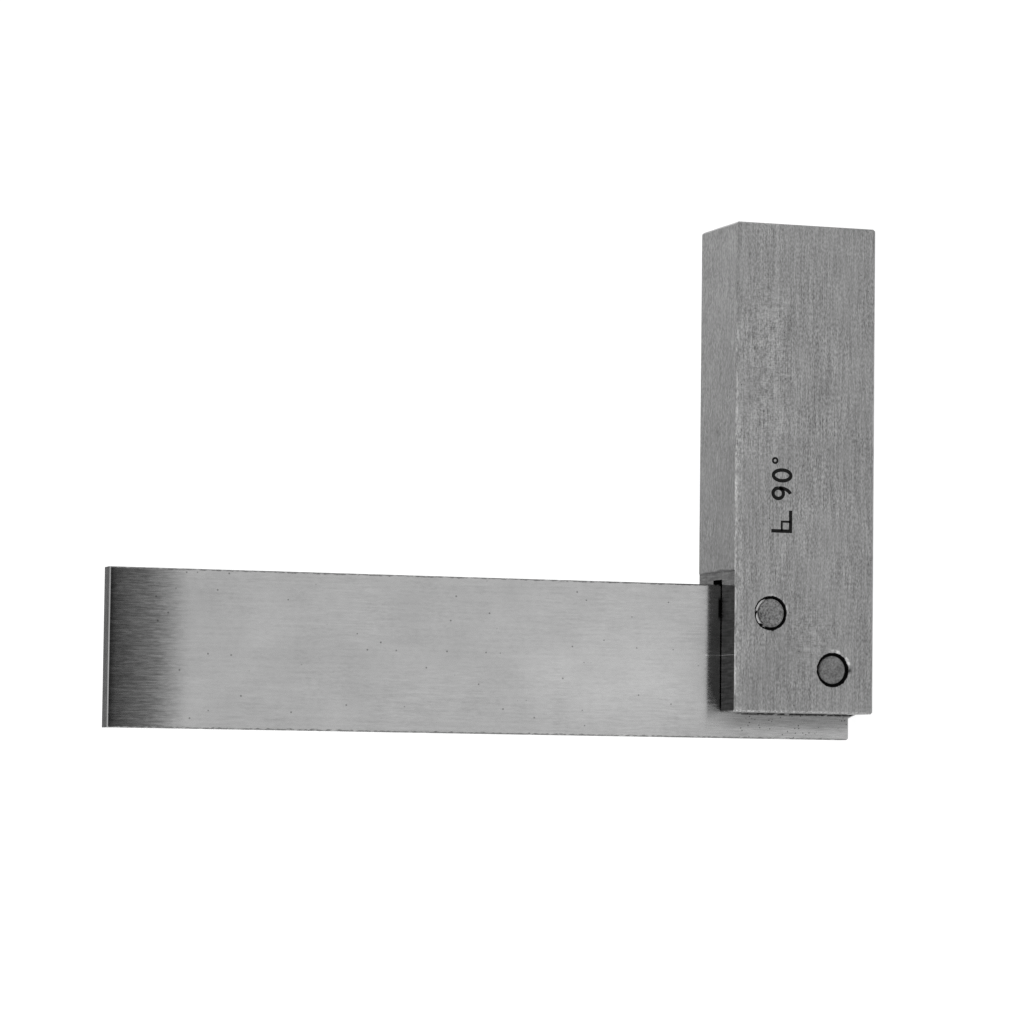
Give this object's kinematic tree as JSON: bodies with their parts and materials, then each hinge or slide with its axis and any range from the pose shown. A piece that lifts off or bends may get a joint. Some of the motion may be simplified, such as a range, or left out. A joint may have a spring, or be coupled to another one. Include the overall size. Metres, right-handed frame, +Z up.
{
  "type": "engineer's square",
  "caption": "Wide-base steel square: a thick slotted stock with a flat blade pinned square into its heel end, for checking and marking right angles.",
  "frame": {"origin": "in the plane of the seat that the square stands on, under the centre of its box", "axes": "+Z up the blade from the seat to the tip, +X along the stock from its heel end to its free end, +Y across the stock's thickness to its rear side"},
  "size_m": [0.0662, 0.0126, 0.1],
  "materials": {
    "stock_steel": "ground, with a fine grain along the stock",
    "blade_steel": "ground, with a fine grain along the blade",
    "pin_steel": "ground flush with the stock",
    "marking_ink": "thin black printed mark on the stock's front side, in the visual model only"
  },
  "bodies": {
    "root": {"stock": "stock_steel", "blade": "blade_steel", "upper_pin": "pin_steel", "lower_pin": "pin_steel"}
  },
  "joints": []
}
